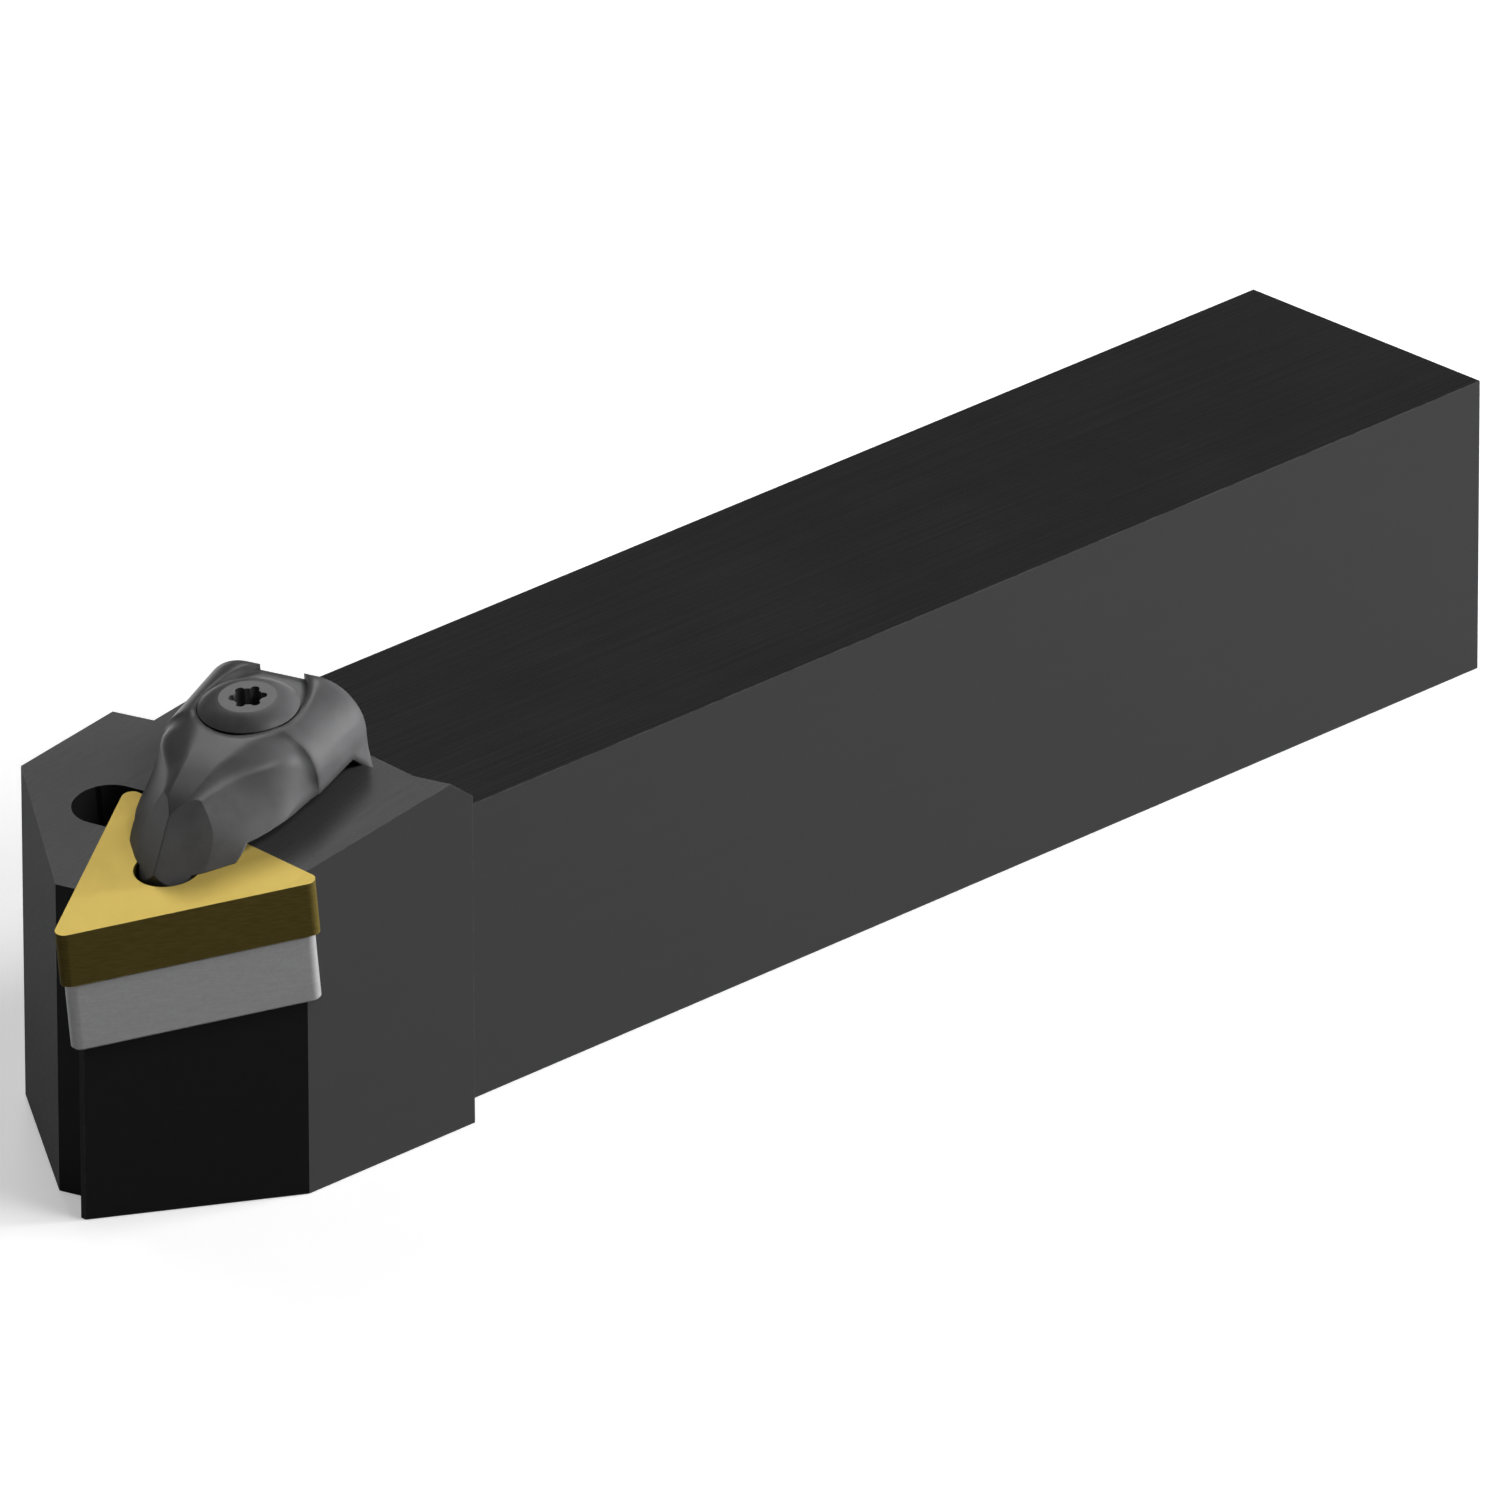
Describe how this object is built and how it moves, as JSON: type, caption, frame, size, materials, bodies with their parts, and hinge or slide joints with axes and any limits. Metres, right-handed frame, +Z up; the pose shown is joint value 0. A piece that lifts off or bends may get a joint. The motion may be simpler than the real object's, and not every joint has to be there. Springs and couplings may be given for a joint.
{
  "type": "turning tool holder",
  "caption": "External turning tool: square steel shank with an offset head that holds a triangular coated carbide insert on a shim under a screw-down top clamp.",
  "frame": {"origin": "bottom face of the shank, in the middle of the plain shank's length and width", "axes": "+X along the shank to its rear end, with the cutting head at -X; +Y away from the side that the cutting edge stands out from; +Z up, the way the insert's rake face looks"},
  "size_m": [0.1524, 0.0302, 0.0367],
  "materials": {
    "holder_steel": "machined steel, blackened",
    "clamp_steel": "forged steel, blackened, satin",
    "screw_steel": "blackened alloy steel",
    "spring_steel": "drawn spring wire",
    "shim_carbide": "ground sintered carbide, uncoated",
    "coated_carbide": "gold-coloured hard coating, satin"
  },
  "bodies": {
    "holder": {"holder_body": "holder_steel", "shim": "shim_carbide", "shim_screw": "screw_steel", "insert": "coated_carbide", "clamp_spring": "spring_steel"},
    "clamp": {"clamp": "clamp_steel"},
    "clamp_screw": {"clamp_screw": "screw_steel"}
  },
  "joints": [
    {"name": "clamp_lift", "type": "slide", "parent": "holder", "child": "clamp", "axis": [-0.142, -0.0381, 0.9891], "range_m": [0, 0.0024], "deforming": ["clamp_spring"]},
    {"name": "clamp_screw_turn", "type": "hinge", "parent": "clamp", "child": "clamp_screw", "pos_m": [-0.0689, -0.00281, 0.02934], "axis": [-0.142, -0.0381, 0.9891], "range_deg": [0, 1080]}
  ],
  "couplings": [
    {"joint": "clamp_screw_turn", "follows": "clamp_lift", "rad_per_m": 7854}
  ]
}
